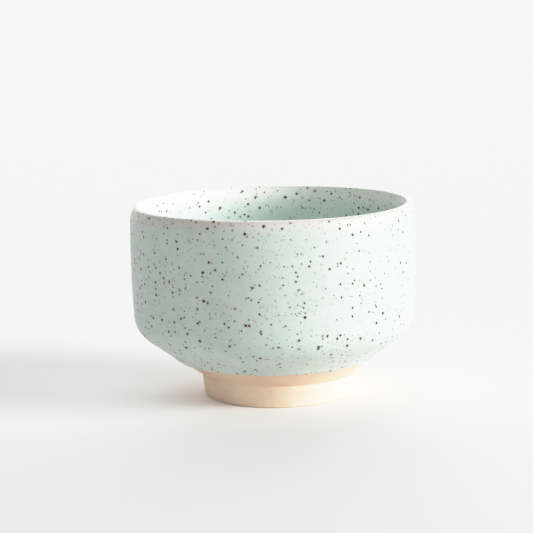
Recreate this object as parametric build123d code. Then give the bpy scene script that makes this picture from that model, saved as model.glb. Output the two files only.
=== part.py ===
from build123d import *
import math
import os

# A matcha bowl (chawan) in thrown stoneware: a half-cylinder bowl with a cut-back, conical
# underside, a trimmed foot ring luted on slightly off centre, and a pale glaze that stops short of
# the foot.
#
# Frame: +Z up, the foot ring stands on Z = 0, and Z is the axis that the wall was thrown about.
# Units are millimetres.  "Finished" surfaces are glaze surfaces; the clay lies one coat below.

# ---- driving dimensions: the finished bowl ----
HEIGHT = 81.0                # table to the top of the lip
WIDEST_RADIUS = 60.0         # the wall bulges very slightly
WIDEST_HEIGHT = 59.0
CONE_SLOPE = 36.4            # degrees: the cut-back underside, measured from the table
CONE_FOOT_RADIUS = 28.2      # where the cone runs out into the flat base under the floor
CORNER_RADIUS = 12.0         # rounding between the cone and the wall
CORNER_REACH = 59.2          # radius at which wall and cone would meet without that rounding

# ---- the lip ----
SHOULDER_RADIUS = 59.6       # the wall starts to lean inwards here
SHOULDER_DROP = 4.4          # below the top of the lip
SHOULDER_ROUNDING = 7.0
LIP_OUTER_RADIUS = 58.1      # the lip's flat top before its two edges are rounded
LIP_INNER_RADIUS = 56.2
LIP_OUTER_ROUNDING = 1.7
LIP_INNER_ROUNDING = 0.6
LEAN_RADIUS = 55.2           # the inner wall leans outwards above here
LEAN_DROP = 5.0              # below the top of the lip
LEAN_ROUNDING = 12.0

# ---- the inside ----
INNER_WALL_RADIUS = 54.7     # at the bottom of the inner wall, which is thicker there
INNER_WALL_FOOT = 32.0
INNER_CORNER_ROUNDING = 18.0
FLOOR_HEIGHT = 12.4
FLOOR_RADIUS = 24.0
FLOOR_ROUNDING = 40.0

# ---- glaze ----
GLAZE = 0.5                  # thickness of the fired coat
GLAZE_LINE_RADIUS = 40.9     # the outer glaze stops here on the cone
BAND_OUTSIDE = 2.2           # the worn band of glaze over the lip reaches this far down outside
BAND_INSIDE = 3.0            # and this far down inside

# ---- foot ring ----
BASE_HEIGHT = 6.5            # clay base above the table: the depth of the well inside the foot
FOOT_SHIFT = 1.9             # the ring sits this far off the bowl's own axis, along +X
FOOT_RADIUS = 32.1           # outside, at the table
FOOT_FLARE = 6.5             # degrees: the outside widens upwards
FOOT_WIDTH = 5.8             # width of the face that stands on the table
WELL_DRAFT = 10.0            # degrees: the well narrows upwards
FOOT_OUTER_BEVEL = 0.9
FOOT_INNER_BEVEL = 0.6
FOOT_BLANK_HEIGHT = 12.5     # the ring before it is fitted to the cone above it

# ---- bare strip: trimmed from the glaze line down to a level crease round the foot ring ----
CREASE_HEIGHT = 9.2          # where the strip meets the outside of the foot ring
FILL_RADIUS = 31.0           # the clay under the floor is thick enough outside this radius

# ---- derived ----
CONE_RISE = math.tan(math.radians(CONE_SLOPE))
UNDERSIDE = BASE_HEIGHT - GLAZE
CORNER_HEIGHT = UNDERSIDE + (CORNER_REACH - CONE_FOOT_RADIUS) * CONE_RISE
GLAZE_LINE_HEIGHT = UNDERSIDE + (GLAZE_LINE_RADIUS - CONE_FOOT_RADIUS) * CONE_RISE
STRIP_TOP_RADIUS = GLAZE_LINE_RADIUS - GLAZE * math.sin(math.radians(CONE_SLOPE))
STRIP_TOP_HEIGHT = GLAZE_LINE_HEIGHT + GLAZE * math.cos(math.radians(CONE_SLOPE))
CREASE_RADIUS = FOOT_RADIUS + CREASE_HEIGHT * math.tan(math.radians(FOOT_FLARE))
MID_WALL = (LIP_OUTER_RADIUS + INNER_WALL_RADIUS) / 2
MARGIN = 3.0                 # how far a cutting outline stands clear of the surface it cuts


def rounded(face, corners):
    """Round the corners of a flat section; each corner is (radius, height, rounding)."""
    for radius, height, rounding in corners:
        nearest = face.vertices().sort_by_distance((radius, 0, height))[0]
        face = fillet(nearest, rounding)
    return face


def flat_section(*points):
    """A flat face in the XZ plane with straight sides through (radius, height) points."""
    return make_face(Polyline(*[(radius, 0, height) for radius, height in points], close=True))


def finished_section():
    """Right half of the section through the glazed bowl, without its foot."""
    base_centre = (0, 0, UNDERSIDE)
    base_edge = (CONE_FOOT_RADIUS, 0, UNDERSIDE)
    corner = (CORNER_REACH, 0, CORNER_HEIGHT)
    widest = (WIDEST_RADIUS, 0, WIDEST_HEIGHT)
    shoulder = (SHOULDER_RADIUS, 0, HEIGHT - SHOULDER_DROP)
    lip_outer = (LIP_OUTER_RADIUS, 0, HEIGHT)
    lip_inner = (LIP_INNER_RADIUS, 0, HEIGHT)
    lean = (LEAN_RADIUS, 0, HEIGHT - LEAN_DROP)
    inner_foot = (INNER_WALL_RADIUS, 0, INNER_WALL_FOOT)
    floor_edge = (FLOOR_RADIUS, 0, FLOOR_HEIGHT)
    floor_centre = (0, 0, FLOOR_HEIGHT)
    outline = (
        Polyline(base_centre, base_edge, corner)
        + ThreePointArc(corner, widest, shoulder)
        + Polyline(shoulder, lip_outer, lip_inner, lean, inner_foot, floor_edge, floor_centre)
        + Line(floor_centre, base_centre)
    )
    return rounded(
        make_face(outline),
        [
            (CORNER_REACH, CORNER_HEIGHT, CORNER_RADIUS),
            (SHOULDER_RADIUS, HEIGHT - SHOULDER_DROP, SHOULDER_ROUNDING),
            (LIP_OUTER_RADIUS, HEIGHT, LIP_OUTER_ROUNDING),
            (LIP_INNER_RADIUS, HEIGHT, LIP_INNER_ROUNDING),
            (LEAN_RADIUS, HEIGHT - LEAN_DROP, LEAN_ROUNDING),
            (INNER_WALL_RADIUS, INNER_WALL_FOOT, INNER_CORNER_ROUNDING),
            (FLOOR_RADIUS, FLOOR_HEIGHT, FLOOR_ROUNDING),
        ],
    )


def clay_section(finished):
    """The clay under the glaze: the finished section pared back by one coat all round."""
    whole = (finished + mirror(finished, about=Plane.YZ)).face()
    pared = offset(whole, -GLAZE)
    right_half = flat_section(
        (0, 0),
        (WIDEST_RADIUS + MARGIN, 0),
        (WIDEST_RADIUS + MARGIN, HEIGHT + MARGIN),
        (0, HEIGHT + MARGIN),
    )
    return pared & right_half


def outer_zone():
    """Where the outer coat lies: from the glaze line up to the band over the lip."""
    across = MARGIN * math.sin(math.radians(CONE_SLOPE))
    down = MARGIN * math.cos(math.radians(CONE_SLOPE))
    return flat_section(
        (GLAZE_LINE_RADIUS + across, GLAZE_LINE_HEIGHT - down),
        (WIDEST_RADIUS + MARGIN, GLAZE_LINE_HEIGHT - down),
        (WIDEST_RADIUS + MARGIN, HEIGHT - BAND_OUTSIDE),
        (MID_WALL, HEIGHT - BAND_OUTSIDE),
        (MID_WALL, INNER_WALL_FOOT),
        (GLAZE_LINE_RADIUS - across, GLAZE_LINE_HEIGHT + down),
    )


def inner_zone():
    """Where the inner coat lies: the floor and the inner wall up to the band over the lip."""
    return flat_section(
        (0, FLOOR_HEIGHT - MARGIN),
        (FLOOR_RADIUS, FLOOR_HEIGHT - MARGIN),
        (MID_WALL, INNER_WALL_FOOT - MARGIN / 2),
        (MID_WALL, HEIGHT - BAND_INSIDE),
        (0, HEIGHT - BAND_INSIDE),
    )


def lip_zone():
    """Where the worn band lies, astride the top of the lip."""
    return flat_section(
        (LIP_INNER_RADIUS - MARGIN, HEIGHT - BAND_INSIDE),
        (MID_WALL, HEIGHT - BAND_INSIDE),
        (MID_WALL, HEIGHT - BAND_OUTSIDE),
        (WIDEST_RADIUS + MARGIN, HEIGHT - BAND_OUTSIDE),
        (WIDEST_RADIUS + MARGIN, HEIGHT + MARGIN),
        (LIP_INNER_RADIUS - MARGIN, HEIGHT + MARGIN),
    )


def thrown(section):
    """Turn a section once round the bowl's own axis."""
    return revolve(section, axis=Axis.Z)


def strip_frustum():
    """Slanting frustum whose side is the bare strip, carried on down to the base.

    Its top ring lies about the bowl's axis and its crease about the foot's, so it leans.
    """
    carried = (STRIP_TOP_HEIGHT - BASE_HEIGHT) / (STRIP_TOP_HEIGHT - CREASE_HEIGHT)
    base_radius = STRIP_TOP_RADIUS - carried * (STRIP_TOP_RADIUS - CREASE_RADIUS)
    top = Pos(0, 0, STRIP_TOP_HEIGHT) * Circle(STRIP_TOP_RADIUS)
    base = Pos(carried * FOOT_SHIFT, 0, BASE_HEIGHT) * Circle(base_radius)
    return loft([base, top])


def trimmed(body):
    """The thrown body with its bare strip cut to the slanting frustum, or filled out to it."""
    frustum = strip_frustum()
    tall = STRIP_TOP_HEIGHT - BASE_HEIGHT
    middle = (0, 0, BASE_HEIGHT + tall / 2)
    fill = frustum - Pos(*middle) * Cylinder(FILL_RADIUS, tall)
    waste = Pos(*middle) * Cylinder(GLAZE_LINE_RADIUS + MARGIN, tall) - frustum
    return body - waste + fill


def foot_section():
    """Section of the foot ring before it is fitted to the cone, about the ring's own axis."""
    flare = FOOT_BLANK_HEIGHT * math.tan(math.radians(FOOT_FLARE))
    draft = FOOT_BLANK_HEIGHT * math.tan(math.radians(WELL_DRAFT))
    well_radius = FOOT_RADIUS - FOOT_WIDTH
    ring = flat_section(
        (well_radius, 0),
        (FOOT_RADIUS, 0),
        (FOOT_RADIUS + flare, FOOT_BLANK_HEIGHT),
        (well_radius - draft, FOOT_BLANK_HEIGHT),
    )
    bevels = ((FOOT_RADIUS, FOOT_OUTER_BEVEL), (well_radius, FOOT_INNER_BEVEL))
    for radius, bevel in bevels:
        edge = ring.vertices().sort_by_distance((radius, 0, 0))[0]
        ring = chamfer(edge, bevel)
    return ring


def foot_ring(body):
    """The luted foot ring, its top cut to sit against the cone and the base of the body."""
    blank = Pos(FOOT_SHIFT, 0, 0) * thrown(foot_section())
    return blank - body


def main():
    """Build every piece and write one STEP file for each."""
    finished = finished_section()
    clay = clay_section(finished)
    coat = finished - clay
    body = trimmed(thrown(clay))
    pieces = {
        "thrown_body": body,
        "foot_ring": foot_ring(body),
        "outer_glaze": thrown(coat & outer_zone()),
        "inner_glaze": thrown(coat & inner_zone()),
        "lip_glaze": thrown(coat & lip_zone()),
    }
    os.makedirs("parts", exist_ok=True)
    for node, piece in pieces.items():
        export_step(piece, f"parts/{node}.step")


main()
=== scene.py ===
import logging
import math
from dataclasses import dataclass
from enum import Enum
from typing import Callable, ClassVar, Optional, Sequence

import bpy
from mathutils import Matrix, Vector, noise


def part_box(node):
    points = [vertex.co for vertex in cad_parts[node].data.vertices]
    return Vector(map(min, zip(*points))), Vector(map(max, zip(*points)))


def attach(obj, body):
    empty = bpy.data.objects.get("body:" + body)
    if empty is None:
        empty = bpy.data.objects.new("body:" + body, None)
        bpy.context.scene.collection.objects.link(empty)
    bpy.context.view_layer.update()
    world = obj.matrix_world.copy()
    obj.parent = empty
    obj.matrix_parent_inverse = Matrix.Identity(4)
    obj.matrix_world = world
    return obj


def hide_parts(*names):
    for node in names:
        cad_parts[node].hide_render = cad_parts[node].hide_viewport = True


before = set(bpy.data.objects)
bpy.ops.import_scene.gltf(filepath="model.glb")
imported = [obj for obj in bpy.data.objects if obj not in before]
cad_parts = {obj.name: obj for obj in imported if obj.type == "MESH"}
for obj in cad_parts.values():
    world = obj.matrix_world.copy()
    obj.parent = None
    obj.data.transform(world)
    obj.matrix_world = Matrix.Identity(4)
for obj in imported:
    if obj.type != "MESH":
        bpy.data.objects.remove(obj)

LOG = logging.getLogger("matcha_bowl")
MM = 0.001
BODY = "root"
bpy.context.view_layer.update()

Point = tuple[float, float]
Colour = tuple[float, float, float, float]


class Slot(Enum):
    """The record's material slots."""

    STONEWARE = "stoneware"
    SPECKLED_GLAZE = "speckled_glaze"
    THIN_GLAZE = "thin_glaze"


@dataclass(frozen=True)
class BowlSizes:
    """Sizes of the bowl in metres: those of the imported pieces, and the roundings between them."""

    height: float
    widest: float
    glaze_line: float
    band_outside: float
    band_inside: float
    base: float
    floor: float
    foot_centre: float
    crease_radius: float
    crease_height: float
    coat: float = 0.5 * MM
    widest_height: float = 59.0 * MM
    cone_slope: float = math.radians(36.4)
    cone_foot: float = 28.2 * MM
    corner_reach: float = 59.2 * MM
    corner_rounding: float = 12.0 * MM
    wall_rounding: float = 480.0 * MM
    shoulder_radius: float = 59.6 * MM
    shoulder_drop: float = 4.4 * MM
    shoulder_rounding: float = 7.0 * MM
    lip_outer: float = 58.1 * MM
    lip_inner: float = 56.2 * MM
    crest_inset: float = 1.3 * MM
    lip_outer_rounding: float = 1.7 * MM
    lip_inner_rounding: float = 0.6 * MM
    lean_radius: float = 55.2 * MM
    lean_drop: float = 5.0 * MM
    lean_rounding: float = 12.0 * MM
    inner_wall: float = 54.7 * MM
    inner_wall_foot: float = 32.0 * MM
    inner_corner_rounding: float = 18.0 * MM
    floor_radius: float = 24.0 * MM
    floor_rounding: float = 40.0 * MM
    foot_width: float = 5.8 * MM

    @classmethod
    def from_frame(cls) -> "BowlSizes":
        """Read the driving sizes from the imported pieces.

        Returns:
            The sizes of the bowl, with the roundings at their own values.
        """
        outer_low, outer_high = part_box("outer_glaze")
        inner_low, inner_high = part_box("inner_glaze")
        _, lip_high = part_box("lip_glaze")
        body_low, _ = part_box("thrown_body")
        foot_low, foot_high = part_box("foot_ring")
        return cls(
            height=lip_high.z,
            widest=outer_high.x,
            glaze_line=outer_low.z,
            band_outside=lip_high.z - outer_high.z,
            band_inside=lip_high.z - inner_high.z,
            base=body_low.z,
            floor=inner_low.z + cls.coat,
            foot_centre=(foot_low.x + foot_high.x) / 2,
            crease_radius=foot_high.y,
            crease_height=foot_high.z,
        )

    def cone_height(self, radius: float) -> float:
        """Height of the finished cone at a radius from the bowl's axis."""
        return self.base - self.coat + (radius - self.cone_foot) * math.tan(self.cone_slope)

    def clay_cone_radius(self, height: float) -> float:
        """Radius of the bare clay cone at a height, one coat inside the finished one."""
        finished = height - self.coat / math.cos(self.cone_slope)
        return self.cone_foot + (finished - self.base + self.coat) / math.tan(self.cone_slope)

    def crest(self) -> float:
        """Radius of the narrow flat top of the lip."""
        return self.lip_outer - self.crest_inset


@dataclass(frozen=True)
class Corner:
    """A corner of an outline in the (radius, height) plane, and the rounding that it gets."""

    radius: float
    height: float
    rounding: float = 0.0


class Outline:
    """A smooth outline in the (radius, height) plane, sampled evenly along its length."""

    STRAIGHT: ClassVar[float] = 1e-4
    FEWEST_STEPS: ClassVar[int] = 4

    def __init__(self, corners: Sequence[Corner], arc_step: float = math.radians(6)) -> None:
        """Round the corners.

        Args:
            corners: The corners in order; the first and last are the outline's ends.
            arc_step: The angle between neighbouring points on a rounding.
        """
        self.knots: list[Point] = [(corners[0].radius, corners[0].height)]
        for before, here, after in zip(corners, corners[1:], corners[2:]):
            self.knots += self._rounded(before, here, after, arc_step)
        self.knots.append((corners[-1].radius, corners[-1].height))

    @classmethod
    def _rounded(
        cls, before: Corner, here: Corner, after: Corner, arc_step: float
    ) -> list[Point]:
        """Points of the arc that rounds one corner.

        Args:
            before: The corner before this one.
            here: The corner to round.
            after: The corner after this one.
            arc_step: The angle between neighbouring points.

        Returns:
            The points of the arc in order, or the corner itself when it stays sharp.
        """
        centre = Vector((here.radius, here.height))
        towards = (Vector((before.radius, before.height)) - centre).normalized()
        away = (Vector((after.radius, after.height)) - centre).normalized()
        opening = towards.angle(away)
        turn = math.pi - opening
        if here.rounding == 0 or turn < cls.STRAIGHT:
            return [tuple(centre)]
        reach = here.rounding * math.tan(turn / 2)
        hub = centre + (towards + away).normalized() * here.rounding / math.cos(turn / 2)
        start = centre + towards * reach - hub
        steps = max(cls.FEWEST_STEPS, math.ceil(turn / arc_step))
        side = 1 if start.x * away.y - start.y * away.x > 0 else -1
        points = []
        for step in range(steps + 1):
            angle = side * turn * step / steps
            across = start.x * math.cos(angle) - start.y * math.sin(angle)
            up = start.x * math.sin(angle) + start.y * math.cos(angle)
            points.append((hub.x + across, hub.y + up))
        return points

    def sampled(self, step: float) -> list[Point]:
        """The outline with long straight stretches divided.

        Args:
            step: The longest distance between neighbouring points.

        Returns:
            Every knot, and evenly spaced points between knots that lie far apart.
        """
        points = [self.knots[0]]
        for start, end in zip(self.knots, self.knots[1:]):
            pieces = max(1, math.ceil(math.dist(start, end) / step))
            for piece in range(1, pieces + 1):
                share = piece / pieces
                points.append(
                    (
                        start[0] + (end[0] - start[0]) * share,
                        start[1] + (end[1] - start[1]) * share,
                    )
                )
        return points


def pared(points: Sequence[Point], depth: float) -> list[Point]:
    """Move an outline into the clay, which lies on its right hand, by a fixed depth.

    Args:
        points: The outline's points in order.
        depth: The distance to move each point, square to the outline.

    Returns:
        The moved points.
    """
    moved = []
    last = len(points) - 1
    for index, (radius, height) in enumerate(points):
        before = points[max(0, index - 1)]
        after = points[min(last, index + 1)]
        along = Vector((after[0] - before[0], after[1] - before[1])).normalized()
        moved.append((max(0.0, radius + along.y * depth), height - along.x * depth))
    return moved


@dataclass(frozen=True)
class ThrowingMarks:
    """The slight unevenness that the hand leaves in a thrown wall, the same for clay and glaze."""

    ring_depth: float = 0.045 * MM
    ring_pitch: float = 5.2 * MM
    ring_least: float = 0.6
    drift_height: float = 18 * MM
    drift_share: float = 2.0
    lobe_depth: float = 0.16 * MM
    lobes: int = 2
    lobe_start: float = 0.7
    lip_wave: float = 0.14 * MM
    lip_waves: int = 3
    lip_start: float = 1.1
    wall_start: float = 24.0 * MM

    def shifted(self, point: Vector) -> Vector:
        """Move one point of the thrown bowl to where the hand left it.

        Args:
            point: A point of the evenly turned bowl, in metres.

        Returns:
            The moved point.
        """
        radius = math.hypot(point.x, point.y)
        if radius < MM:
            return point
        around = math.atan2(point.y, point.x)
        rise = min(1.0, max(0.0, (point.z - self.wall_start) / self.wall_start))
        spiral = math.sin(2 * math.pi * point.z / self.ring_pitch + around)
        place = Vector((math.cos(around), math.sin(around), point.z / self.drift_height))
        drift = noise.noise(place)
        outwards = rise * (
            self.ring_depth * spiral * (self.ring_least + drift)
            + self.lobe_depth * math.cos(self.lobes * around + self.lobe_start)
            + self.ring_depth * self.drift_share * drift
        )
        upwards = rise * self.lip_wave * math.sin(self.lip_waves * around + self.lip_start)
        scale = 1 + outwards / radius
        return Vector((point.x * scale, point.y * scale, point.z + upwards))


class TurnedPiece:
    """A closed piece turned once round a vertical axis from an outline."""

    WELD: ClassVar[float] = 0.002 * MM
    SMOOTH_BELOW: ClassVar[float] = math.radians(42)

    def __init__(self, name: str, segments: int, centre: float = 0.0) -> None:
        """Name the piece.

        Args:
            name: The piece's name.
            segments: How many steps the turn is made in.
            centre: Where the turning axis stands along X, in metres.
        """
        self.name = name
        self.segments = segments
        self.centre = centre
        self.piece: Optional[bpy.types.Object] = None

    def turn(self, outline: Sequence[Point], solid: bool = False) -> None:
        """Lay a ring of points along the outline and spin it into a closed piece.

        Args:
            outline: Points in the (radius, height) plane about the piece's own axis.
            solid: True where the outline starts and ends on the axis; otherwise its last
                point joins its first.
        """
        bpy.ops.object.select_all(action="DESELECT")
        bpy.ops.mesh.primitive_circle_add(vertices=len(outline), radius=MM, fill_type="NOTHING")
        self.piece = bpy.context.object
        self.piece.name = self.name
        self.piece.data.name = self.name
        for vertex, (radius, height) in zip(self.piece.data.vertices, outline):
            vertex.co = (radius, 0, height)
        closing = {0, len(outline) - 1}
        bpy.ops.object.mode_set(mode="EDIT")
        bpy.ops.mesh.select_all(action="DESELECT")
        bpy.ops.object.mode_set(mode="OBJECT")
        for edge in self.piece.data.edges:
            edge.select = solid and set(edge.vertices) == closing
        bpy.ops.object.mode_set(mode="EDIT")
        bpy.ops.mesh.select_mode(type="EDGE")
        if solid:
            bpy.ops.mesh.delete(type="EDGE_FACE")
        bpy.ops.object.mode_set(mode="OBJECT")
        spin = self.piece.modifiers.new("turning", "SCREW")
        spin.steps = self.segments
        spin.render_steps = self.segments
        spin.use_merge_vertices = True
        spin.merge_threshold = self.WELD
        bpy.ops.object.modifier_apply(modifier=spin.name)
        bpy.ops.object.mode_set(mode="EDIT")
        bpy.ops.mesh.select_all(action="SELECT")
        bpy.ops.transform.translate(value=(self.centre, 0, 0))
        bpy.ops.mesh.remove_doubles(threshold=self.WELD)
        bpy.ops.mesh.normals_make_consistent(inside=False)
        bpy.ops.object.mode_set(mode="OBJECT")

    def work_over(self, move: Callable[[Vector], Vector]) -> None:
        """Move every vertex of the piece one by one.

        Args:
            move: Takes a vertex's place and returns its new place.
        """
        for vertex in self.piece.data.vertices:
            vertex.co = move(vertex.co.copy())
        self.piece.data.update()

    def finish(self, material: bpy.types.Material, stands_for: str) -> None:
        """Smooth the piece, dress it and hang it in the frame.

        Args:
            material: The finish that the piece gets.
            stands_for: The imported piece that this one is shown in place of.
        """
        bpy.ops.object.select_all(action="DESELECT")
        self.piece.select_set(True)
        bpy.context.view_layer.objects.active = self.piece
        bpy.ops.object.shade_smooth_by_angle(angle=self.SMOOTH_BELOW)
        self.piece.data.materials.clear()
        self.piece.data.materials.append(material)
        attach(self.piece, BODY)
        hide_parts(stands_for)
        LOG.info("%s: %d faces", self.name, len(self.piece.data.polygons))


class Graph:
    """A node tree that is being wired up."""

    def __init__(self, tree: bpy.types.NodeTree) -> None:
        """Take a node tree to build in."""
        self.tree = tree

    def add(self, kind: str, inputs: Optional[dict] = None, **settings: object) -> bpy.types.Node:
        """Add a node.

        Args:
            kind: The node's type name without its ShaderNode prefix.
            inputs: Values or sockets for the node's inputs, by name or index.
            settings: Attributes to set on the node.

        Returns:
            The new node.
        """
        node = self.tree.nodes.new("ShaderNode" + kind)
        for name, value in settings.items():
            setattr(node, name, value)
        for key, value in (inputs or {}).items():
            self.feed(node.inputs[key], value)
        return node

    def feed(self, socket: bpy.types.NodeSocket, value: object) -> None:
        """Link a socket into an input, or set the input's own value."""
        if isinstance(value, bpy.types.NodeSocket):
            self.tree.links.new(value, socket)
        else:
            socket.default_value = value

    def maths(self, operation: str, *values: object) -> bpy.types.NodeSocket:
        """Output of a maths node on one to three numbers or sockets."""
        node = self.add("Math", dict(enumerate(values)), operation=operation)
        return node.outputs[0]

    def vector(self, operation: str, *values: object) -> bpy.types.NodeSocket:
        """Output of a vector maths node."""
        node = self.add("VectorMath", operation=operation)
        for index, value in enumerate(values):
            key = "Scale" if operation == "SCALE" and index == 1 else index
            self.feed(node.inputs[key], value)
        return node.outputs[0]

    def ramp(self, value: object, low: object, high: object) -> bpy.types.NodeSocket:
        """Smooth rise from 0 at low to 1 at high."""
        node = self.add(
            "MapRange",
            {"Value": value, "From Min": low, "From Max": high},
            interpolation_type="SMOOTHSTEP",
        )
        return node.outputs[0]

    def colour_mix(self, share: object, under: object, over: object) -> bpy.types.NodeSocket:
        """Mix two colours, the second one covering as far as share says."""
        node = self.add("Mix", data_type="RGBA")
        self.feed(node.inputs["Factor"], share)
        self.feed(node.inputs[6], under)
        self.feed(node.inputs[7], over)
        return node.outputs[2]


def new_group(
    name: str, inputs: Sequence[tuple[str, str, object]], outputs: Sequence[str]
) -> tuple[Graph, bpy.types.Node, bpy.types.Node]:
    """Start a shader node group.

    Args:
        name: The group's name.
        inputs: Name, kind and default of each input; the kind is Float, Vector or Color.
        outputs: Names of the outputs, all of them numbers.

    Returns:
        The group's graph, its input node and its output node.
    """
    tree = bpy.data.node_groups.new(name, "ShaderNodeTree")
    for label, kind, default in inputs:
        socket = tree.interface.new_socket(label, in_out="INPUT", socket_type="NodeSocket" + kind)
        if default is not None:
            socket.default_value = default
    for label in outputs:
        tree.interface.new_socket(label, in_out="OUTPUT", socket_type="NodeSocketFloat")
    entry = tree.nodes.new("NodeGroupInput")
    leave = tree.nodes.new("NodeGroupOutput")
    return Graph(tree), entry, leave


@dataclass
class PotteryEffects:
    """Shader node groups that the clay and the glazes share."""

    OUTLINE_LUMP: ClassVar[float] = 0.9 * MM
    CROWD_PATCH: ClassVar[float] = 11 * MM
    CROWD_GAIN: ClassVar[float] = 5.0
    CROWD_SHIFT: ClassVar[float] = -1.5
    SMALLEST: ClassVar[float] = 0.4
    STAIN_REACH: ClassVar[float] = 2.3
    CLOUD_ROUGHNESS: ClassVar[float] = 0.6
    CLOUD_SPAN: ClassVar[tuple[float, float]] = (0.25, 0.75)
    SWAY_PATCH: ClassVar[float] = 9 * MM
    CREST_BLEND: ClassVar[float] = 0.8 * MM

    specks: bpy.types.NodeTree
    mottle: bpy.types.NodeTree
    rim_break: bpy.types.NodeTree

    @classmethod
    def build(cls) -> "PotteryEffects":
        """Make each group once."""
        return cls(cls._specks(), cls._mottle(), cls._rim_break())

    @classmethod
    def _specks(cls) -> bpy.types.NodeTree:
        """Iron grains scattered in the clay or glaze: ragged round spots of mixed size.

        Returns:
            The group. Cell is the grid that the grains are scattered on, Radius the largest
            grain, Ragged how far its outline strays, Share how many cells hold a grain, and
            Blur the width of its soft edge, all but Share in metres. Halo is the stain that
            the melt draws out round a grain, and Tone a number of the grain's own.
        """
        graph, entry, leave = new_group(
            "iron_specks",
            [
                ("Vector", "Vector", None),
                ("Cell", "Float", 4.0 * MM),
                ("Radius", "Float", 0.4 * MM),
                ("Ragged", "Float", 0.2 * MM),
                ("Share", "Float", 0.5),
                ("Blur", "Float", 0.08 * MM),
                ("Seed", "Float", 0.0),
            ],
            ["Mask", "Halo", "Tone"],
        )
        source = entry.outputs
        offset = graph.add("CombineXYZ", {0: source["Seed"], 1: source["Seed"], 2: source["Seed"]})
        place = graph.vector("ADD", source["Vector"], offset.outputs[0])
        stray = graph.add(
            "TexNoise", {"Vector": place, "Scale": 1 / cls.OUTLINE_LUMP, "Detail": 1.0}
        )
        centred = graph.vector("SUBTRACT", stray.outputs["Color"], (0.5, 0.5, 0.5))
        swing = graph.vector("SCALE", centred, source["Ragged"])
        strayed = graph.vector("ADD", place, swing)
        cells = graph.add(
            "TexVoronoi",
            {"Vector": strayed, "Scale": graph.maths("DIVIDE", 1.0, source["Cell"])},
        )
        chance = graph.add("SeparateColor", {"Color": cells.outputs["Color"]})
        patches = graph.add(
            "TexNoise", {"Vector": place, "Scale": 1 / cls.CROWD_PATCH, "Detail": 2.0}
        )
        crowding = graph.maths(
            "MULTIPLY_ADD", patches.outputs["Fac"], cls.CROWD_GAIN, cls.CROWD_SHIFT
        )
        share = graph.maths("MULTIPLY", source["Share"], crowding)
        present = graph.maths("LESS_THAN", chance.outputs["Red"], share)
        size = graph.maths(
            "MULTIPLY_ADD", chance.outputs["Green"], 1 - cls.SMALLEST, cls.SMALLEST
        )
        radius = graph.maths("MULTIPLY", source["Radius"], size)
        distance = graph.maths("MULTIPLY", cells.outputs["Distance"], source["Cell"])
        inside = graph.ramp(
            distance,
            graph.maths("ADD", radius, source["Blur"]),
            graph.maths("SUBTRACT", radius, source["Blur"]),
        )
        stain = graph.ramp(distance, graph.maths("MULTIPLY", radius, cls.STAIN_REACH), radius)
        graph.feed(leave.inputs["Mask"], graph.maths("MULTIPLY", inside, present))
        graph.feed(leave.inputs["Halo"], graph.maths("MULTIPLY", stain, present))
        graph.feed(leave.inputs["Tone"], chance.outputs["Blue"])
        return graph.tree

    @classmethod
    def _mottle(cls) -> bpy.types.NodeTree:
        """Soft cloudy variation between 0 and 1, at the size Patch in metres."""
        graph, entry, leave = new_group(
            "soft_mottle",
            [("Vector", "Vector", None), ("Patch", "Float", 6 * MM), ("Detail", "Float", 3.0)],
            ["Value"],
        )
        cloud = graph.add(
            "TexNoise",
            {
                "Vector": entry.outputs["Vector"],
                "Scale": graph.maths("DIVIDE", 1.0, entry.outputs["Patch"]),
                "Detail": entry.outputs["Detail"],
                "Roughness": cls.CLOUD_ROUGHNESS,
            },
        )
        graph.feed(leave.inputs["Value"], graph.ramp(cloud.outputs["Fac"], *cls.CLOUD_SPAN))
        return graph.tree

    @classmethod
    def _rim_break(cls) -> bpy.types.NodeTree:
        """How thin the glaze has run towards the top of the lip; the masks also place painted
        light, a painted highlight and a painted shadow line at the lip.

        Returns:
            The group. Top is the height of the lip, Reach how far down the thinning goes,
            Sway how much that varies round the rim and Crest the radius of the lip's middle,
            in metres. The masks, one for each side of the lip, are 1 at its top.
        """
        graph, entry, leave = new_group(
            "rim_break",
            [
                ("Vector", "Vector", None),
                ("Top", "Float", 81 * MM),
                ("Reach", "Float", 6 * MM),
                ("Sway", "Float", 3 * MM),
                ("Crest", "Float", 57 * MM),
            ],
            ["Inside", "Outside"],
        )
        place = graph.add("SeparateXYZ", {0: entry.outputs["Vector"]})
        wave = graph.add(
            "TexNoise",
            {"Vector": entry.outputs["Vector"], "Scale": 1 / cls.SWAY_PATCH, "Detail": 2.0},
        )
        centred = graph.maths("SUBTRACT", wave.outputs["Fac"], 0.5)
        sway = graph.maths("MULTIPLY", centred, entry.outputs["Sway"])
        height = graph.maths("ADD", place.outputs[2], sway)
        low = graph.maths("SUBTRACT", entry.outputs["Top"], entry.outputs["Reach"])
        thin = graph.ramp(height, low, entry.outputs["Top"])
        flat = graph.vector("MULTIPLY", entry.outputs["Vector"], (1.0, 1.0, 0.0))
        radius = graph.add("VectorMath", {0: flat}, operation="LENGTH").outputs["Value"]
        beyond = graph.maths("SUBTRACT", radius, entry.outputs["Crest"])
        outside = graph.ramp(beyond, -cls.CREST_BLEND, cls.CREST_BLEND)
        outer = graph.maths("MULTIPLY", thin, outside)
        graph.feed(leave.inputs["Outside"], outer)
        graph.feed(leave.inputs["Inside"], graph.maths("SUBTRACT", thin, outer))
        return graph.tree


@dataclass(frozen=True)
class Specks:
    """One kind of iron grain: how it is scattered and what colour it has."""

    cell: float
    radius: float
    ragged: float
    share: float
    blur: float
    seed: float
    cover: float
    dark: Colour
    light: Colour
    stain: float = 0.0


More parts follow.
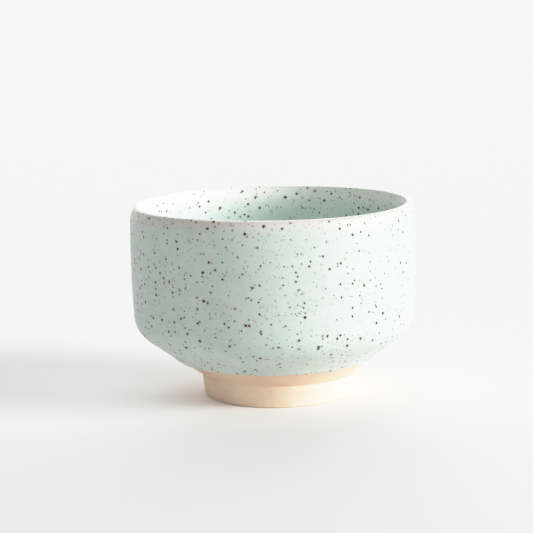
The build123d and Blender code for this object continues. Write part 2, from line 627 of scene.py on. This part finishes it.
SUNKEN_GREY = Specks(
    cell=1.55 * MM,
    radius=0.30 * MM,
    ragged=0.35 * MM,
    share=0.51,
    blur=0.07 * MM,
    seed=0.31,
    cover=0.80,
    dark=(0.070, 0.085, 0.070, 1),
    light=(0.24, 0.28, 0.24, 1),
)
OCHRE_BLOOM = Specks(
    cell=2.7 * MM,
    radius=0.50 * MM,
    ragged=0.9 * MM,
    share=0.45,
    blur=0.15 * MM,
    seed=0.67,
    cover=0.66,
    dark=(0.34, 0.18, 0.05, 1),
    light=(0.50, 0.38, 0.14, 1),
)
RUST_GRAIN = Specks(
    cell=2.0 * MM,
    radius=0.43 * MM,
    ragged=0.50 * MM,
    share=0.54,
    blur=0.07 * MM,
    seed=1.13,
    cover=0.97,
    dark=(0.030, 0.013, 0.007, 1),
    light=(0.26, 0.085, 0.025, 1),
)
BLACK_GRAIN = Specks(
    cell=2.45 * MM,
    radius=0.58 * MM,
    ragged=0.65 * MM,
    share=0.57,
    blur=0.07 * MM,
    seed=1.79,
    cover=1.0,
    dark=(0.003, 0.002, 0.002, 1),
    light=(0.034, 0.015, 0.007, 1),
    stain=0.42,
)
CLAY_GRAIN = Specks(
    cell=4.0 * MM,
    radius=0.22 * MM,
    ragged=0.3 * MM,
    share=0.25,
    blur=0.08 * MM,
    seed=2.3,
    cover=0.6,
    dark=(0.22, 0.12, 0.07, 1),
    light=(0.45, 0.28, 0.17, 1),
)
STAIN: Colour = (0.30, 0.155, 0.065, 1)


class Finish:
    """A procedural finish whose patterns sit on object coordinates."""

    def __init__(self, name: str, effects: PotteryEffects) -> None:
        """Start a material.

        Args:
            name: The material's name.
            effects: The shared node groups.
        """
        self.effects = effects
        self.material = bpy.data.materials.new(name)
        self.material.use_nodes = True
        self.graph = Graph(self.material.node_tree)
        self.shader = self.material.node_tree.nodes["Principled BSDF"]
        self.place = self.graph.add("TexCoord").outputs["Object"]

    def use(self, group: bpy.types.NodeTree, **inputs: object) -> bpy.types.Node:
        """Place a shared group in this material with its own values."""
        node = self.graph.add("Group", node_tree=group)
        self.graph.feed(node.inputs["Vector"], self.place)
        for name, value in inputs.items():
            self.graph.feed(node.inputs[name], value)
        return node

    def speckled(self, colour: bpy.types.NodeSocket, specks: Specks) -> tuple:
        """Scatter one kind of grain over a colour.

        Args:
            colour: The colour under the grains.
            specks: The kind of grain.

        Returns:
            The colour with the grains over it, and the grains' mask.
        """
        node = self.use(
            self.effects.specks,
            Cell=specks.cell,
            Radius=specks.radius,
            Ragged=specks.ragged,
            Share=specks.share,
            Blur=specks.blur,
            Seed=specks.seed,
        )
        if specks.stain:
            spread = self.graph.maths("MULTIPLY", node.outputs["Halo"], specks.stain)
            colour = self.graph.colour_mix(spread, colour, STAIN)
        tint = self.graph.colour_mix(node.outputs["Tone"], specks.dark, specks.light)
        cover = self.graph.maths("MULTIPLY", node.outputs["Mask"], specks.cover)
        return self.graph.colour_mix(cover, colour, tint), node.outputs["Mask"]

    def bump(self, height: bpy.types.NodeSocket, distance: float) -> None:
        """Raise the surface by a height between 0 and 1 times a distance in metres."""
        node = self.graph.add("Bump", {"Height": height, "Distance": distance, "Strength": 1.0})
        self.graph.feed(self.shader.inputs["Normal"], node.outputs[0])


@dataclass(frozen=True)
class RimBand:
    """How far a band at the lip reaches down, and how much that varies; the bands mark thinned
    glaze, painted light and a painted shadow line.
    """

    reach: float
    sway: float


OUTER_BAND = RimBand(7.0 * MM, 3.0 * MM)
# Partly thinned glaze, partly painted light: the pale band inside the lip also stands in for light
# on the upper inner wall.
INNER_BAND_AND_PAINTED_LIGHT = RimBand(13.0 * MM, 2.0 * MM)
# Partly thinned glaze, partly a painted highlight along the crest.
CREST_BAND_AND_HIGHLIGHT = RimBand(0.5 * MM, 0.2 * MM)
# Painted shadow: a thin tan line just below the crest on the outside of the lip.
SEAM_SHADOW_BAND = RimBand(1.9 * MM, 0.4 * MM)


@dataclass(frozen=True)
class GlazeShade:
    """Colours of one coat of the satin glaze where it lies thin and where it lies thick."""

    thin: Colour
    thick: Colour


OUTER_SHADE = GlazeShade((0.530, 0.625, 0.570, 1), (0.585, 0.668, 0.620, 1))
# Painted light: the inside coat is a lighter, greener copy of the glaze, standing in for light
# bounced round inside the bowl.
INNER_SHADE_WITH_PAINTED_LIGHT = GlazeShade((0.585, 0.712, 0.645, 1), (0.640, 0.752, 0.695, 1))


class SatinGlaze(Finish):
    """Pale mint satin glaze with iron grains, broken to a warm tone where it thins at the lip, with
    painted light on the inner band, a painted highlight on the crest and a painted shadow line
    below the lip's outer rounding.
    """

    BROKEN: Colour = (0.670, 0.656, 0.618, 1)
    # Pale inner band: partly thinned glaze, partly painted light on the upper inner wall.
    LINING_AND_PAINTED_LIGHT: Colour = (0.880, 0.890, 0.868, 1)
    # Cream crest: partly thinned glaze, partly a painted highlight.
    CREST_CREAM_AND_HIGHLIGHT: Colour = (0.800, 0.765, 0.700, 1)
    # Painted shadow line below the lip's outer rounding, where the thicker glaze ends.
    SEAM_SHADOW: Colour = (0.520, 0.450, 0.390, 1)
    SEAM_SHADOW_SHARE: float = 0.5
    CLOUD_PATCH: float = 7 * MM
    PEEL_PATCH: float = 1.6 * MM
    PEEL_DEPTH: float = 0.025 * MM
    GRAIN_HEIGHT: float = 0.5
    SATIN: float = 0.46
    GRAIN_ROUGHER: float = 0.18

    def __init__(
        self, name: str, effects: PotteryEffects, sizes: BowlSizes, shade: GlazeShade
    ) -> None:
        """Wire the glaze.

        Args:
            name: The material's name.
            effects: The shared node groups.
            sizes: The bowl's sizes, for the height of the lip.
            shade: The coat's own colours.
        """
        super().__init__(name, effects)
        clouds = self.use(effects.mottle, Patch=self.CLOUD_PATCH, Detail=3.0)
        colour = self.graph.colour_mix(clouds.outputs["Value"], shade.thin, shade.thick)
        colour = self._broken_rim(colour, sizes)
        colour, _ = self.speckled(colour, SUNKEN_GREY)
        colour, _ = self.speckled(colour, OCHRE_BLOOM)
        colour, rust = self.speckled(colour, RUST_GRAIN)
        colour, black = self.speckled(colour, BLACK_GRAIN)
        self.graph.feed(self.shader.inputs["Base Color"], colour)
        grains = self.graph.maths("MAXIMUM", rust, black)
        rough = self.graph.maths("MULTIPLY_ADD", grains, self.GRAIN_ROUGHER, self.SATIN)
        self.graph.feed(self.shader.inputs["Roughness"], rough)
        peel = self.use(effects.mottle, Patch=self.PEEL_PATCH, Detail=2.0)
        height = self.graph.maths(
            "MULTIPLY_ADD", grains, self.GRAIN_HEIGHT, peel.outputs["Value"]
        )
        self.bump(height, self.PEEL_DEPTH)

    def _broken_rim(self, colour: bpy.types.NodeSocket, sizes: BowlSizes) -> bpy.types.NodeSocket:
        """Break the glaze to warm grey outside the lip; paint the inner band pale, partly as
        thinned glaze and partly as painted light on the upper inner wall; darken a painted shadow
        line just below the crest outside; and make the crest cream, partly as thinned glaze and
        partly as a painted highlight.

        Args:
            colour: The glaze's own colour.
            sizes: The bowl's sizes.

        Returns:
            The colour with the lip's bands over it.
        """
        outer = self._rim(sizes, OUTER_BAND).outputs["Outside"]
        inner = self._rim(sizes, INNER_BAND_AND_PAINTED_LIGHT).outputs["Inside"]
        crest = self._rim(sizes, CREST_BAND_AND_HIGHLIGHT)
        top = self.graph.maths("ADD", crest.outputs["Outside"], crest.outputs["Inside"])
        # Painted shadow: a thin tan line just below the crest, outside the lip.
        upper = self._rim(sizes, SEAM_SHADOW_BAND).outputs["Outside"]
        seam_shadow = self.graph.maths("PINGPONG", upper, 0.5)
        seam_shadow = self.graph.maths("MULTIPLY", seam_shadow, self.SEAM_SHADOW_SHARE)
        colour = self.graph.colour_mix(outer, colour, self.BROKEN)
        # Pale inner band: partly thinned glaze, partly painted light on the upper inner wall.
        colour = self.graph.colour_mix(inner, colour, self.LINING_AND_PAINTED_LIGHT)
        colour = self.graph.colour_mix(seam_shadow, colour, self.SEAM_SHADOW)
        # Cream crest: partly thinned glaze, partly a painted highlight.
        return self.graph.colour_mix(top, colour, self.CREST_CREAM_AND_HIGHLIGHT)

    def _rim(self, sizes: BowlSizes, band: RimBand) -> bpy.types.Node:
        """Masks of one band towards the lip; the bands mark thinned glaze, painted light and
        painted shade.
        """
        return self.use(
            self.effects.rim_break,
            Top=sizes.height,
            Reach=band.reach,
            Sway=band.sway,
            Crest=sizes.crest(),
        )


class BareClay(Finish):
    """Unglazed buff stoneware: grit, faint turning lines, iron grains, and painted shade darkening
    the bare strip above the crease.
    """

    PALE: Colour = (0.90, 0.685, 0.515, 1)
    DEEP: Colour = (0.79, 0.580, 0.420, 1)
    GRIT: Colour = (0.94, 0.820, 0.680, 1)
    # Painted shade: the darker colour given to the bare strip above the crease, under the cone's
    # overhang.
    PAINTED_STRIP_SHADE: Colour = (0.70, 0.490, 0.350, 1)
    PAINTED_STRIP_SHADE_SHARE: float = 0.6
    PAINTED_STRIP_SHADE_BLEND: float = 0.5 * MM
    CLOUD_PATCH: float = 9 * MM
    GRIT_PATCH: float = 0.50 * MM
    GRIT_SHARE: float = 0.45
    GRIT_HEIGHT: float = 0.8
    LINE_PITCH: float = 0.5 * MM
    LINE_STRETCH: tuple[float, float, float] = (0.12, 0.12, 1.0)
    RELIEF: float = 0.09 * MM
    MATT: float = 0.88

    def __init__(self, name: str, effects: PotteryEffects, sizes: BowlSizes) -> None:
        """Wire the clay.

        Args:
            name: The material's name.
            effects: The shared node groups.
            sizes: The bowl's sizes, for the height that the painted shade on the strip starts at.
        """
        super().__init__(name, effects)
        clouds = self.use(effects.mottle, Patch=self.CLOUD_PATCH, Detail=4.0)
        colour = self.graph.colour_mix(clouds.outputs["Value"], self.PALE, self.DEEP)
        grit = self.use(effects.mottle, Patch=self.GRIT_PATCH, Detail=2.0)
        gritty = self.graph.maths("MULTIPLY", grit.outputs["Value"], self.GRIT_SHARE)
        colour = self.graph.colour_mix(gritty, colour, self.GRIT)
        # Painted shade: the bare strip above the crease, where the cone overhangs the foot, is
        # darkened.
        level = self.graph.add("SeparateXYZ", {0: self.place}).outputs[2]
        strip_shade_full = sizes.crease_height + self.PAINTED_STRIP_SHADE_BLEND
        strip_shade = self.graph.ramp(level, sizes.crease_height, strip_shade_full)
        strip_shade = self.graph.maths("MULTIPLY", strip_shade, self.PAINTED_STRIP_SHADE_SHARE)
        colour = self.graph.colour_mix(strip_shade, colour, self.PAINTED_STRIP_SHADE)
        colour, _ = self.speckled(colour, CLAY_GRAIN)
        self.graph.feed(self.shader.inputs["Base Color"], colour)
        self.shader.inputs["Roughness"].default_value = self.MATT
        stretched = self.graph.vector("MULTIPLY", self.place, self.LINE_STRETCH)
        lines = self.graph.add(
            "TexNoise", {"Vector": stretched, "Scale": 1 / self.LINE_PITCH, "Detail": 2.0}
        )
        height = self.graph.maths(
            "MULTIPLY_ADD", grit.outputs["Value"], self.GRIT_HEIGHT, lines.outputs["Fac"]
        )
        self.bump(height, self.RELIEF)


@dataclass
class GlazedWall:
    """The thrown clay body and its three coats of glaze."""

    sizes: BowlSizes
    marks: ThrowingMarks
    segments: int = 360
    row: float = 1.1 * MM
    edge_bead: float = 0.32 * MM
    edge_fade: float = 7.0 * MM
    edge_lift: float = 0.80 * MM
    edge_tilt: float = 0.30 * MM
    edge_wave: float = 0.35 * MM
    edge_waves: float = 7.0
    bead_height: float = 0.9 * MM
    bead_width: float = 1.1 * MM
    bulge: float = 0.15 * MM

    def _outside(self) -> Outline:
        """Finished outside from the middle of the lip down to the edge of the base."""
        s = self.sizes
        rise = (s.corner_reach - s.cone_foot) * math.tan(s.cone_slope)
        return Outline(
            [
                Corner(s.crest(), s.height),
                Corner(s.lip_outer, s.height, s.lip_outer_rounding),
                Corner(s.shoulder_radius, s.height - s.shoulder_drop, s.shoulder_rounding),
                Corner(s.widest + self.bulge, s.widest_height, s.wall_rounding),
                Corner(s.corner_reach, s.base - s.coat + rise, s.corner_rounding),
                Corner(s.cone_foot, s.base - s.coat),
            ]
        )

    def _inside(self) -> Outline:
        """Finished inside from the middle of the floor up to the middle of the lip."""
        s = self.sizes
        return Outline(
            [
                Corner(0.0, s.floor),
                Corner(s.floor_radius, s.floor, s.floor_rounding),
                Corner(s.inner_wall, s.inner_wall_foot, s.inner_corner_rounding),
                Corner(s.lean_radius, s.height - s.lean_drop, s.lean_rounding),
                Corner(s.lip_inner, s.height, s.lip_inner_rounding),
                Corner(s.crest(), s.height),
            ]
        )

    @staticmethod
    def _between(points: Sequence[Point], low: float, high: float) -> list[Point]:
        """The stretch of an outline between two heights, cut exactly at both.

        Args:
            points: Points of an outline that only rises or only falls between the heights.
            low: The lower height.
            high: The upper height.

        Returns:
            The points inside, with a new point at each height that the outline crosses.
        """
        kept = []
        for start, end in zip(points, points[1:]):
            if low <= start[1] <= high:
                kept.append(start)
            for level in (low, high) if end[1] > start[1] else (high, low):
                if min(start[1], end[1]) < level < max(start[1], end[1]):
                    share = (level - start[1]) / (end[1] - start[1])
                    kept.append((start[0] + (end[0] - start[0]) * share, level))
        if low <= points[-1][1] <= high:
            kept.append(points[-1])
        return kept

    def _shell(self, surface: Sequence[Point]) -> list[Point]:
        """Section of a coat under a stretch of the finished surface.

        Args:
            surface: The stretch, with the clay on its right hand.

        Returns:
            The stretch, then the clay face under it taken backwards.
        """
        return [*surface, *reversed(pared(surface, self.sizes.coat))]

    def outer_coat(self, material: bpy.types.Material) -> None:
        """Outer coat with a beaded, slightly wavering edge above the bare clay."""
        s = self.sizes
        full = self._outside().sampled(self.row)
        line = s.glaze_line + s.coat * math.cos(s.cone_slope)
        surface = self._between(full, line, s.height - s.band_outside)
        coat = TurnedPiece("outer_glaze_coat", self.segments)
        coat.turn(self._shell(surface))
        coat.work_over(self._run_edge)
        coat.work_over(self.marks.shifted)
        coat.finish(material, "outer_glaze")

    def _run_edge(self, point: Vector) -> Vector:
        """Let the coat's edge wander along the cone, and swell it into a bead.

        Args:
            point: A point of the evenly turned coat.

        Returns:
            The moved point.
        """
        s = self.sizes
        above = point.z - s.glaze_line
        if above > self.edge_fade:
            return point
        hold = 1 - max(0.0, above) / self.edge_fade
        radius = math.hypot(point.x, point.y)
        around = math.atan2(point.y, point.x)
        ring = Vector((math.cos(around), math.sin(around), 0.0))
        waver = noise.fractal(ring * self.edge_waves, 1.0, 2.0, 3)
        tilt = self.edge_lift - self.edge_tilt * math.cos(around)
        along = hold * hold * (self.edge_wave * 2 * waver + tilt)
        swell = self.edge_bead * math.exp(-(((above - self.bead_height) / self.bead_width) ** 2))
        outer = point.z < s.cone_height(radius) + s.coat / 2
        lift = swell if outer else 0.0
        radius += along * math.cos(s.cone_slope) + lift * math.sin(s.cone_slope)
        height = point.z + along * math.sin(s.cone_slope) - lift * math.cos(s.cone_slope)
        return Vector((ring.x * radius, ring.y * radius, height))

    def inner_coat(self, material: bpy.types.Material) -> None:
        """Inner coat over the floor and the inner wall."""
        s = self.sizes
        surface = self._between(self._inside().sampled(self.row), 0.0, s.height - s.band_inside)
        coat = TurnedPiece("inner_glaze_coat", self.segments)
        coat.turn(self._shell(surface), solid=True)
        coat.work_over(self.marks.shifted)
        coat.finish(material, "inner_glaze")

    def lip_coat(self, material: bpy.types.Material) -> None:
        """Thin coat over the lip, between the inner and the outer coat."""
        s = self.sizes
        inner = self._inside().sampled(self.row / 2)
        outer = self._outside().sampled(self.row / 2)
        rising = self._between(inner, s.height - s.band_inside, s.height)
        falling = self._between(outer, s.height - s.band_outside, s.height)
        surface = [*rising, *falling[1:]]
        coat = TurnedPiece("lip_glaze_band", self.segments)
        coat.turn(self._shell(surface))
        coat.work_over(self.marks.shifted)
        coat.finish(material, "lip_glaze")

    def clay_body(self, material: bpy.types.Material) -> None:
        """Clay body under the coats: bare on the lower cone and inside the foot."""
        s = self.sizes
        inside = pared(self._inside().sampled(self.row), s.coat)
        outside = pared(self._outside().sampled(self.row), s.coat)
        body = TurnedPiece("clay_body", self.segments)
        body.turn([*inside, *outside[1:], (0.0, s.base)], solid=True)
        body.work_over(self._trim_strip)
        body.work_over(self.marks.shifted)
        body.finish(material, "thrown_body")

    def _trim_strip(self, point: Vector) -> Vector:
        """Trim the bare strip to a slanting cone that ends level round the foot ring.

        Args:
            point: A point of the evenly turned body.

        Returns:
            The moved point; points above the glaze line or inside the bowl stay.
        """
        s = self.sizes
        top = s.glaze_line + s.coat * math.cos(s.cone_slope)
        top_radius = s.clay_cone_radius(top)
        radius = math.hypot(point.x, point.y)
        if point.z > top or radius < s.clay_cone_radius(point.z) - 2 * s.coat:
            return point
        share = (top - point.z) / (top - s.crease_height)
        trimmed = top_radius + (s.crease_radius - top_radius) * share
        around = math.atan2(point.y, point.x)
        return Vector(
            (
                s.foot_centre * share + trimmed * math.cos(around),
                trimmed * math.sin(around),
                point.z,
            )
        )


@dataclass
class FootRing:
    """The trimmed foot ring under the cone."""

    sizes: BowlSizes
    segments: int = 360
    row: float = 0.4 * MM
    flare: float = math.radians(6.5)
    draft: float = math.radians(10)
    seat: float = 29.9 * MM
    outer_bevel: float = 0.9 * MM
    inner_bevel: float = 0.6 * MM
    line_depth: float = 0.06 * MM
    line_pitch: float = 1.3 * MM
    crease_depth: float = 0.20 * MM
    crease_width: float = 0.40 * MM
    crease_pressed: float = 0.65
    crease_uneven: float = 0.35
    line_share: float = 0.5
    chatter_share: float = 1.6
    chatter_size: float = 6 * MM
    chatter_squash: float = 3.0

    def build(self, material: bpy.types.Material) -> None:
        """Turn the ring about its own axis, up to the crease, and cut the turning lines."""
        s = self.sizes
        table_radius = s.crease_radius - s.crease_height * math.tan(self.flare)
        well = table_radius - s.foot_width
        outline = Outline(
            [
                Corner(well - s.base * math.tan(self.draft), s.base),
                Corner(well, 0.0, self.inner_bevel),
                Corner(table_radius, 0.0, self.outer_bevel),
                Corner(s.crease_radius, s.crease_height),
                Corner(self.seat, s.base),
            ]
        )
        ring = TurnedPiece("foot_ring_trimmed", self.segments, s.foot_centre)
        ring.turn(outline.sampled(self.row))
        ring.work_over(self._trim)
        ring.finish(material, "foot_ring")

    def _trim(self, point: Vector) -> Vector:
        """Cut the faint lines that the turning tool leaves, and a fine groove at the crease.

        Args:
            point: A point of the plain ring.

        Returns:
            The moved point.
        """
        s = self.sizes
        offset = Vector((point.x - s.foot_centre, point.y, 0.0))
        if not self.outer_bevel < point.z < s.crease_height + self.line_depth:
            return point
        around = math.atan2(offset.y, offset.x)
        groove = math.sin(2 * math.pi * point.z / self.line_pitch + around)
        place = Vector((offset.x, offset.y, point.z * self.chatter_squash))
        chatter = noise.noise(place / self.chatter_size)
        depth = self.line_depth * (groove * self.line_share + chatter * self.chatter_share)
        below = (s.crease_height - point.z) / self.crease_width
        pressed = self.crease_pressed - self.crease_uneven * math.cos(around)
        depth -= self.crease_depth * pressed * math.exp(-below * below)
        return point + offset.normalized() * depth


@dataclass(frozen=True)
class Glow:
    """A soft patch of light in the surround: where it is, how tight and how bright."""

    direction: tuple[float, float, float]
    focus: float
    strength: float


@dataclass(frozen=True)
class Studio:
    """A pale floor, a lit backdrop, soft fills, a low key from the right, and the camera."""

    floor_size: float = 60.0
    floor_tone: float = 0.94
    # Painted shade: the floor's darker colour at the near left, where the light falls off.
    near_shade_tone: float = 0.80
    near_edge: float = -0.19
    far_edge: float = -0.03
    shade_falls_along: tuple[float, float, float] = (0.7, 0.7, 0.0)
    floor_roughness: float = 0.9
    backdrop: Glow = Glow((0.0, 1.0, 0.25), 4.0, 4.05)
    fill: Glow = Glow((0.0, -1.0, 0.80), 3.0, 0.95)
    side: Glow = Glow((-1.0, 0.0, 1.0), 3.0, 0.15)
    key_strength: float = 4.8
    key_spread: float = math.radians(24)
    key_azimuth: float = math.radians(74.5)
    key_height: float = math.radians(14)
    knee: float = 0.70
    brightest: float = 2.2
    shoulder_steps: int = 12
    distance: float = 0.712
    elevation: float = math.radians(10.72)
    aim: tuple[float, float, float] = (-0.0029, 0.0, 0.0535)
    pivot_height: float = 0.040
    roll: float = math.radians(-1.24)
    lens: float = 113.3
    sensor: float = 36.0

    def floor(self) -> None:
        """A wide matt white floor, its colour darkened gently towards the near left as painted
        shade.
        """
        bpy.ops.object.select_all(action="DESELECT")
        bpy.ops.mesh.primitive_plane_add(size=self.floor_size)
        plane = bpy.context.object
        plane.name = "studio_floor"
        material = bpy.data.materials.new("floor_paint")
        material.use_nodes = True
        graph = Graph(material.node_tree)
        place = graph.add("TexCoord").outputs["Object"]
        # Painted shade: the floor's colour darkens towards the near left.
        across = graph.add(
            "VectorMath", {0: place, 1: self.shade_falls_along}, operation="DOT_PRODUCT"
        )
        lit = graph.ramp(across.outputs["Value"], self.near_edge, self.far_edge)
        tones = [(tone, tone, tone, 1.0) for tone in (self.near_shade_tone, self.floor_tone)]
        shader = material.node_tree.nodes["Principled BSDF"]
        graph.feed(shader.inputs["Base Color"], graph.colour_mix(lit, *tones))
        shader.inputs["Roughness"].default_value = self.floor_roughness
        plane.data.materials.append(material)

    def surround(self) -> None:
        """Light the surround with the glows of the backdrop and the two fills."""
        world = bpy.data.worlds.new("studio_surround")
        bpy.context.scene.world = world
        world.use_nodes = True
        graph = Graph(world.node_tree)
        direction = graph.add("TexCoord").outputs["Generated"]
        total = 0.0
        for glow in (self.backdrop, self.fill, self.side):
            towards = tuple(Vector(glow.direction).normalized())
            facing = graph.add("VectorMath", {0: direction, 1: towards}, operation="DOT_PRODUCT")
            ahead = graph.maths("MAXIMUM", facing.outputs["Value"], 0.0)
            patch = graph.maths("POWER", ahead, glow.focus)
            total = graph.maths("MULTIPLY_ADD", patch, glow.strength, total)
        background = world.node_tree.nodes["Background"]
        background.inputs["Color"].default_value = (1, 1, 1, 1)
        graph.feed(background.inputs["Strength"], total)

    def key(self) -> None:
        """A low soft key light from the right."""
        key = bpy.data.lights.new("key_light", "SUN")
        key.energy = self.key_strength
        key.angle = self.key_spread
        lamp = bpy.data.objects.new("key_light", key)
        bpy.context.scene.collection.objects.link(lamp)
        level = math.cos(self.key_height)
        towards = Vector(
            (
                level * math.sin(self.key_azimuth),
                -level * math.cos(self.key_azimuth),
                math.sin(self.key_height),
            )
        )
        lamp.rotation_euler = towards.to_track_quat("Z", "Y").to_euler()
        lamp.location = towards

    def camera(self) -> None:
        """A long lens a little above the bowl's lip."""
        camera = bpy.data.cameras.new("camera")
        camera.lens = self.lens
        camera.sensor_width = self.sensor
        camera.clip_end = self.floor_size * 2
        holder = bpy.data.objects.new("camera", camera)
        bpy.context.scene.collection.objects.link(holder)
        place = Vector(
            (
                0.0,
                -self.distance * math.cos(self.elevation),
                self.pivot_height + self.distance * math.sin(self.elevation),
            )
        )
        look = Vector(self.aim) - place
        turn = look.to_track_quat("-Z", "Y").to_matrix().to_4x4()
        holder.matrix_world = (
            Matrix.Translation(place) @ turn @ Matrix.Rotation(self.roll, 4, "Z")
        )
        bpy.context.scene.camera = holder

    def tone(self) -> None:
        """Plain colour handling, with a soft shoulder so that the lit side keeps its colour."""
        view = bpy.context.scene.view_settings
        view.view_transform = "Standard"
        view.use_curve_mapping = True
        mapping = view.curve_mapping
        mapping.white_level = (self.brightest,) * 3
        points = mapping.curves[3].points
        room = 1 - self.knee
        levels = [
            self.knee + (self.brightest - self.knee) * step / self.shoulder_steps
            for step in range(self.shoulder_steps)
        ]
        for level in levels:
            shown = self.knee + room * (1 - math.exp((self.knee - level) / room))
            points.new(level / self.brightest, shown)
        for point in points:
            point.handle_type = "VECTOR"
        mapping.update()

    def build(self) -> None:
        """Set up floor, lights, camera and colour handling."""
        self.floor()
        self.surround()
        self.key()
        self.camera()
        self.tone()


def main() -> None:
    """Build the bowl piece by piece and set it in the studio."""
    logging.basicConfig(level=logging.INFO)
    sizes = BowlSizes.from_frame()
    effects = PotteryEffects.build()
    outer = SatinGlaze("satin_mint_glaze", effects, sizes, OUTER_SHADE).material
    # Painted light: the inside coat uses the lighter, greener copy of the glaze.
    inner = SatinGlaze("satin_mint_glaze_inside_painted_light", effects, sizes, INNER_SHADE_WITH_PAINTED_LIGHT).material
    thin = SatinGlaze("lip_glaze_thin", effects, sizes, OUTER_SHADE).material
    clay = BareClay("buff_stoneware", effects, sizes).material
    wall = GlazedWall(sizes, ThrowingMarks())
    wall.clay_body(clay)
    wall.inner_coat(inner)
    wall.outer_coat(outer)
    wall.lip_coat(thin)
    FootRing(sizes).build(clay)
    Studio().build()


if __name__ == "__main__":
    main()
